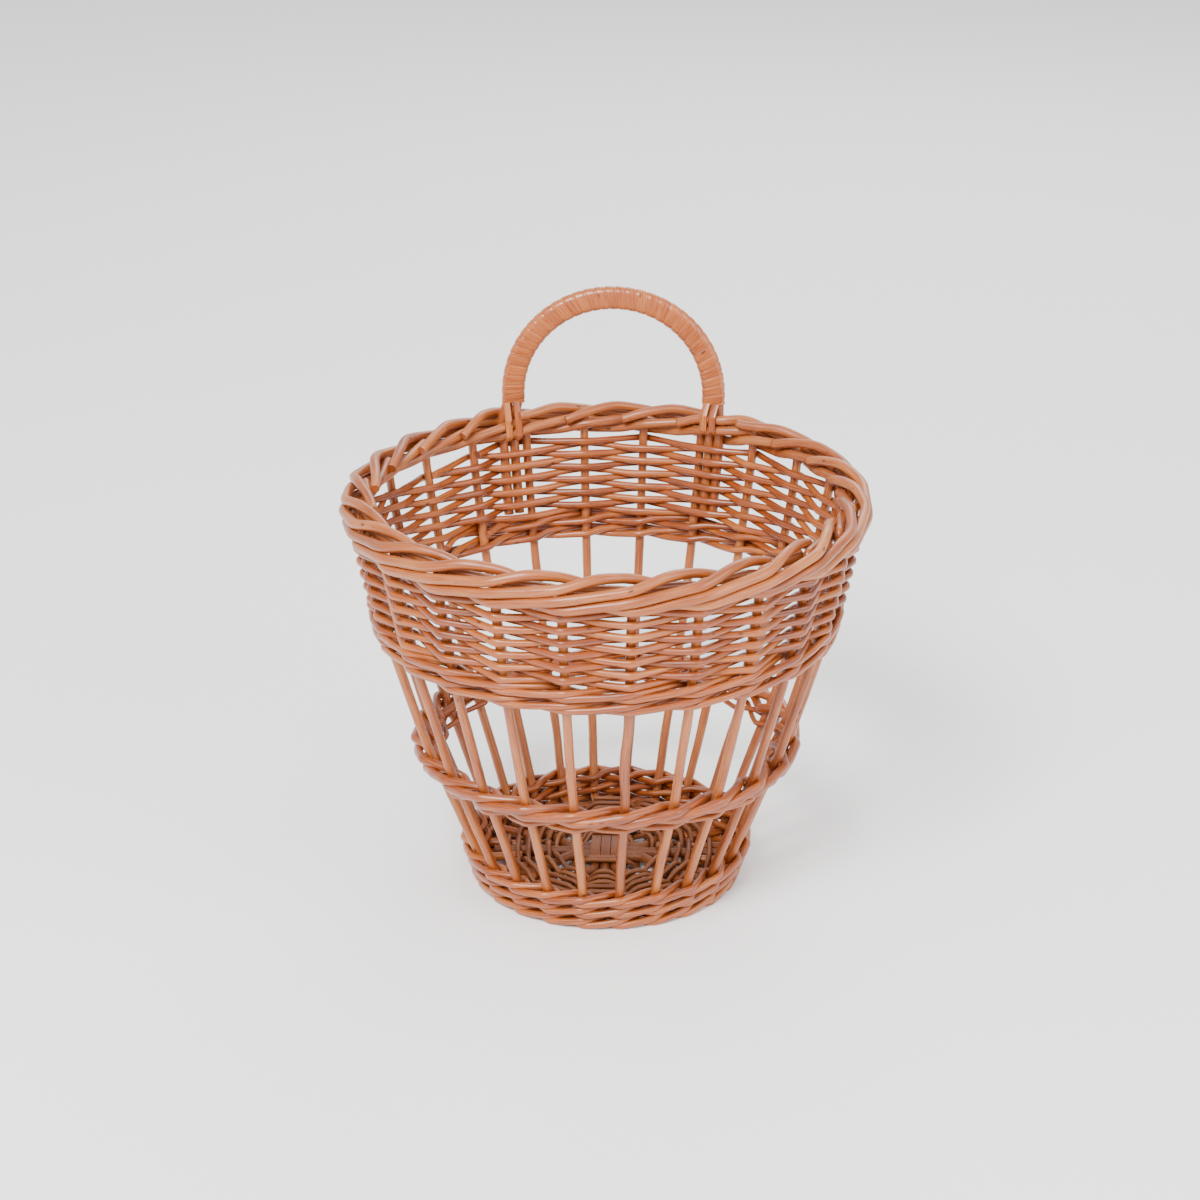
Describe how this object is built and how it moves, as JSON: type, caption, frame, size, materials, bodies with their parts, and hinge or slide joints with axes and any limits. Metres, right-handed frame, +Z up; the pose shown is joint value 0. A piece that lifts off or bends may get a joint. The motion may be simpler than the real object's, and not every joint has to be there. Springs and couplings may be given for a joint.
{
  "type": "egg collection basket",
  "caption": "Round openwork willow basket with a woven band, a twisted rod border and one wrapped bow handle on its back rim.",
  "frame": {"origin": "middle of the foot ring at the height of the ground", "axes": "+Z up through the middle of the mouth, +Y towards the handle at the back of the rim, +X to the right seen from the front"},
  "size_m": [0.229, 0.229, 0.2459],
  "materials": {
    "willow_sticks": "buff willow, dull",
    "willow_stakes": "buff willow, satin",
    "willow_weavers": "buff willow, satin",
    "willow_bow": "buff willow, satin",
    "willow_skein": "split willow skein, glossy"
  },
  "bodies": {
    "root": {"base_stick_whole_1": "willow_sticks", "base_stick_whole_2": "willow_sticks", "base_stick_whole_3": "willow_sticks", "base_stick_split_1": "willow_sticks", "base_stick_split_2": "willow_sticks", "base_stick_split_3": "willow_sticks", "stake_01": "willow_stakes", "stake_02": "willow_stakes", "stake_03": "willow_stakes", "stake_04": "willow_stakes", "stake_05": "willow_stakes", "stake_06": "willow_stakes", "stake_07": "willow_stakes", "stake_08": "willow_stakes", "stake_09": "willow_stakes", "stake_10": "willow_stakes", "stake_11": "willow_stakes", "stake_12": "willow_stakes", "stake_13": "willow_stakes", "stake_14": "willow_stakes", "stake_15": "willow_stakes", "stake_16": "willow_stakes", "stake_17": "willow_stakes", "stake_18": "willow_stakes", "stake_19": "willow_stakes", "stake_20": "willow_stakes", "stake_21": "willow_stakes", "stake_22": "willow_stakes", "stake_23": "willow_stakes", "stake_24": "willow_stakes", "base_slath_tie": "willow_weavers", "base_weaver_a": "willow_weavers", "base_weaver_b": "willow_weavers", "foot_wale_1_rod_1": "willow_weavers", "foot_wale_1_rod_2": "willow_weavers", "foot_wale_1_rod_3": "willow_weavers", "foot_wale_2_rod_1": "willow_weavers", "foot_wale_2_rod_2": "willow_weavers", "foot_wale_2_rod_3": "willow_weavers", "foot_wale_3_rod_1": "willow_weavers", "foot_wale_3_rod_2": "willow_weavers", "foot_wale_3_rod_3": "willow_weavers", "middle_fitch_rod_1": "willow_weavers", "middle_fitch_rod_2": "willow_weavers", "middle_wale_rod_1": "willow_weavers", "middle_wale_rod_2": "willow_weavers", "middle_wale_rod_3": "willow_weavers", "lower_wale_rod_1": "willow_weavers", "lower_wale_rod_2": "willow_weavers", "lower_wale_rod_3": "willow_weavers", "band_weaver_a": "willow_weavers", "band_weaver_b": "willow_weavers", "handle_bow_outer": "willow_bow", "handle_bow_inner": "willow_bow", "handle_wrap": "willow_skein", "handle_lashing_left": "willow_skein", "handle_lashing_right": "willow_skein"}
  },
  "joints": []
}
